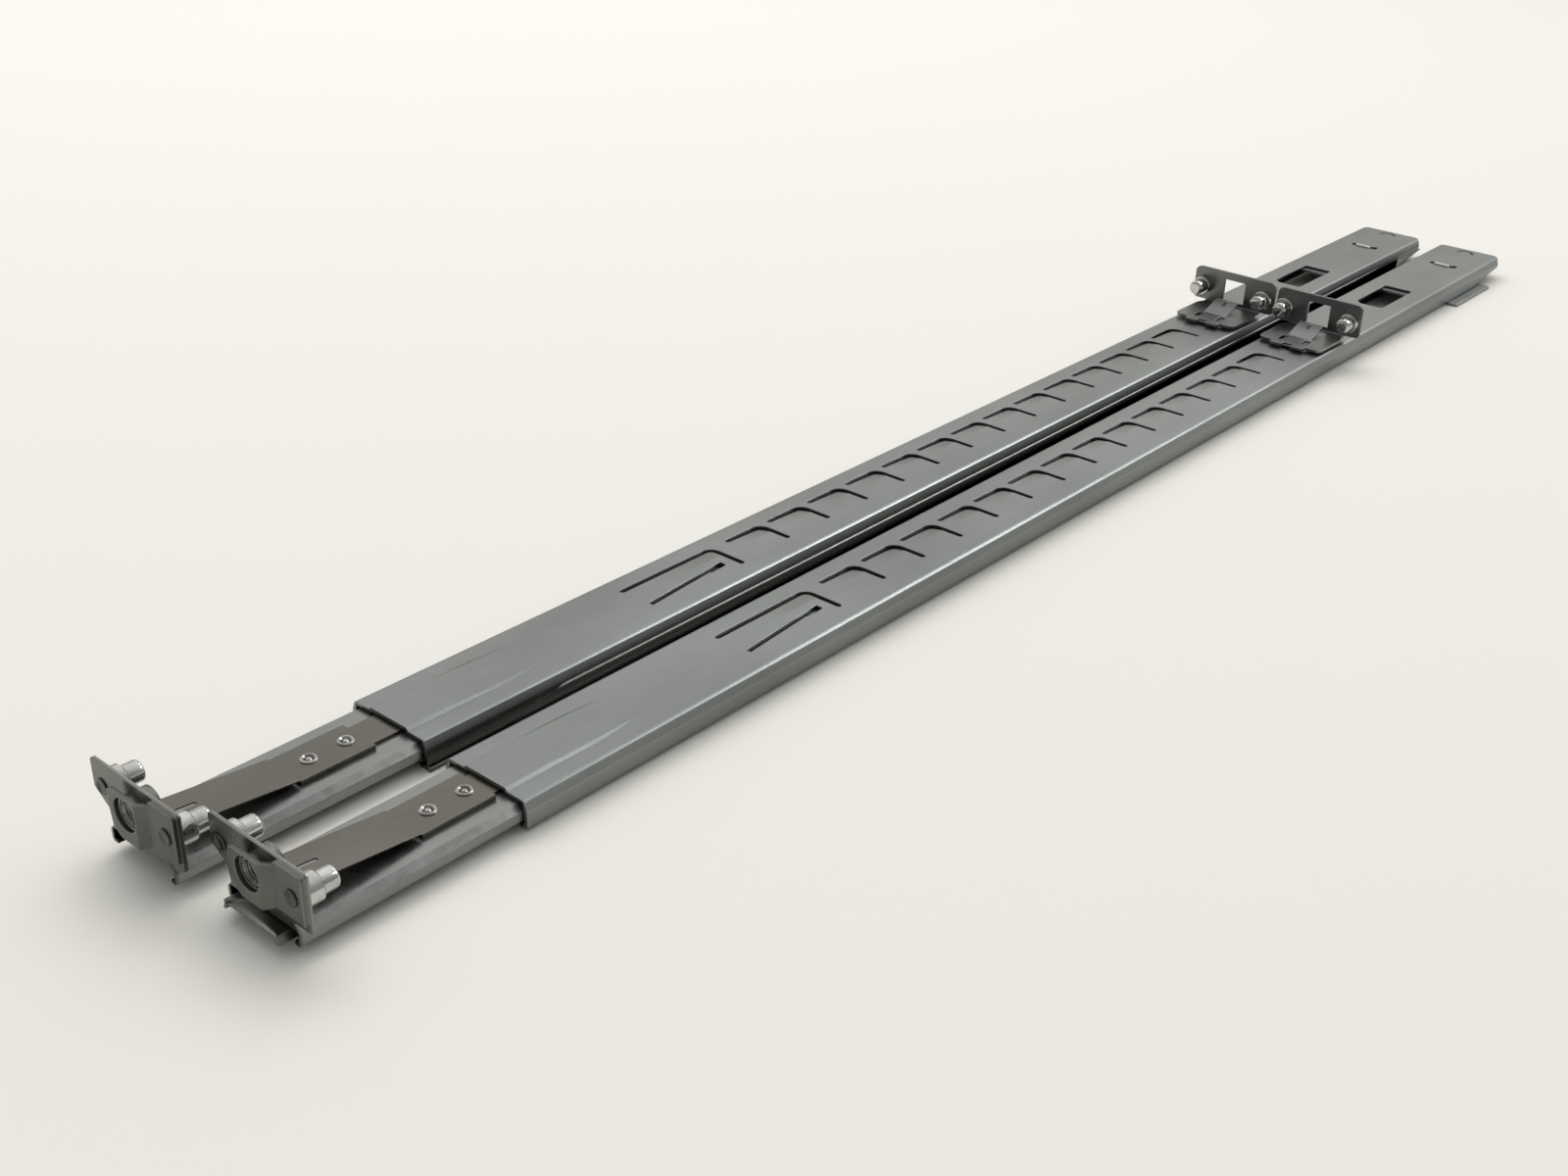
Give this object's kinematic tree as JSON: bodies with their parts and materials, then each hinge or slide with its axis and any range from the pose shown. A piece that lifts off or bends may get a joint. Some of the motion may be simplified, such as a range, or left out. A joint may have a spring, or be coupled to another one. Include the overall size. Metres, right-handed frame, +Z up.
{
  "type": "sliding server rail pair",
  "caption": "Pair of telescopic rack rails: slotted steel sleeves with pinned rear brackets, front flanges that draw out, sprung post latches and ball-borne inner slides.",
  "frame": {"origin": "centre of the whole pair's box, at the surface it lies on", "axes": "+X from the front flanges to the rear ends, +Y from the right rail to the left rail, +Z up, out of the rails' outer faces"},
  "size_m": [0.7672, 0.0868, 0.0279],
  "materials": {
    "zinc_steel": "bright zinc-plated sheet steel, satin",
    "bright_steel": "polished turned steel",
    "rivet_steel": "dull plated steel",
    "spring_steel": "brownish-grey stainless spring strip",
    "cage_steel": "thin plain steel strip",
    "bumper_plastic": "black moulded plastic"
  },
  "bodies": {
    "fixed_sleeves": {"left_sleeve": "zinc_steel", "left_rear_bracket": "zinc_steel", "left_rear_pins": "bright_steel", "left_rear_bracket_rivets": "rivet_steel", "left_rear_latch_root": "spring_steel", "left_cable_arm_bracket": "zinc_steel", "right_sleeve": "zinc_steel", "right_rear_bracket": "zinc_steel", "right_rear_pins": "bright_steel", "right_rear_bracket_rivets": "rivet_steel", "right_rear_latch_root": "spring_steel", "right_cable_arm_bracket": "zinc_steel"},
    "left_rear_latch": {"left_rear_latch_blade": "spring_steel"},
    "left_cabinet_slide": {"left_cabinet_member": "zinc_steel", "left_thumbscrew_plate": "zinc_steel", "left_thumbscrew_nut": "rivet_steel", "left_front_pins": "bright_steel", "left_front_latch_backing": "spring_steel", "left_front_latch_root": "spring_steel", "left_front_latch_rivets": "rivet_steel", "left_slide_bumper": "bumper_plastic"},
    "left_front_latch": {"left_front_latch_blade": "spring_steel"},
    "left_intermediate_slide": {"left_intermediate_member": "zinc_steel"},
    "left_outer_cage": {"left_ball_cage": "cage_steel", "left_bearing_balls": "bright_steel"},
    "left_inner_cage": {"left_inner_ball_cage": "cage_steel", "left_inner_bearing_balls": "bright_steel"},
    "right_rear_latch": {"right_rear_latch_blade": "spring_steel"},
    "right_cabinet_slide": {"right_cabinet_member": "zinc_steel", "right_thumbscrew_plate": "zinc_steel", "right_thumbscrew_nut": "rivet_steel", "right_front_pins": "bright_steel", "right_front_latch_backing": "spring_steel", "right_front_latch_root": "spring_steel", "right_front_latch_rivets": "rivet_steel", "right_slide_bumper": "bumper_plastic"},
    "right_front_latch": {"right_front_latch_blade": "spring_steel"},
    "right_intermediate_slide": {"right_intermediate_member": "zinc_steel"},
    "right_outer_cage": {"right_ball_cage": "cage_steel", "right_bearing_balls": "bright_steel"},
    "right_inner_cage": {"right_inner_ball_cage": "cage_steel", "right_inner_bearing_balls": "bright_steel"}
  },
  "joints": [
    {"name": "left_depth_slide", "type": "slide", "parent": "fixed_sleeves", "child": "left_cabinet_slide", "axis": [-1, 0, 0], "range_m": [-0.0097, 0.28025]},
    {"name": "left_front_latch_flex", "type": "hinge", "parent": "left_cabinet_slide", "child": "left_front_latch", "pos_m": [-0.33325, 0.0224, 0.0094], "axis": [0, -1, 0], "range_deg": [0, 5], "stiffness_Nm_per_rad": 2},
    {"name": "left_rear_latch_flex", "type": "hinge", "parent": "fixed_sleeves", "child": "left_rear_latch", "pos_m": [0.18575, 0.0224, 0.0112], "axis": [0, 1, 0], "range_deg": [0, 15], "stiffness_Nm_per_rad": 0.5},
    {"name": "left_intermediate_slide_out", "type": "slide", "parent": "left_cabinet_slide", "child": "left_intermediate_slide", "axis": [-1, 0, 0], "range_m": [0, 0.36]},
    {"name": "left_outer_cage_roll", "type": "slide", "parent": "left_cabinet_slide", "child": "left_outer_cage", "axis": [-1, 0, 0], "range_m": [0, 0.18]},
    {"name": "left_inner_cage_roll", "type": "slide", "parent": "left_intermediate_slide", "child": "left_inner_cage", "axis": [-1, 0, 0], "range_m": [-0.24, 0.015]},
    {"name": "right_depth_slide", "type": "slide", "parent": "fixed_sleeves", "child": "right_cabinet_slide", "axis": [-1, 0, 0], "range_m": [-0.002, 0.28795]},
    {"name": "right_front_latch_flex", "type": "hinge", "parent": "right_cabinet_slide", "child": "right_front_latch", "pos_m": [-0.32665, -0.0214, 0.0094], "axis": [0, -1, 0], "range_deg": [0, 5], "stiffness_Nm_per_rad": 2},
    {"name": "right_rear_latch_flex", "type": "hinge", "parent": "fixed_sleeves", "child": "right_rear_latch", "pos_m": [0.18465, -0.0214, 0.0112], "axis": [0, 1, 0], "range_deg": [0, 15], "stiffness_Nm_per_rad": 0.5},
    {"name": "right_intermediate_slide_out", "type": "slide", "parent": "right_cabinet_slide", "child": "right_intermediate_slide", "axis": [-1, 0, 0], "range_m": [0, 0.36]},
    {"name": "right_outer_cage_roll", "type": "slide", "parent": "right_cabinet_slide", "child": "right_outer_cage", "axis": [-1, 0, 0], "range_m": [0, 0.18]},
    {"name": "right_inner_cage_roll", "type": "slide", "parent": "right_intermediate_slide", "child": "right_inner_cage", "axis": [-1, 0, 0], "range_m": [-0.24, 0.015]}
  ],
  "couplings": [
    {"joint": "left_outer_cage_roll", "follows": "left_intermediate_slide_out", "ratio": 0.5},
    {"joint": "right_outer_cage_roll", "follows": "right_intermediate_slide_out", "ratio": 0.5}
  ]
}
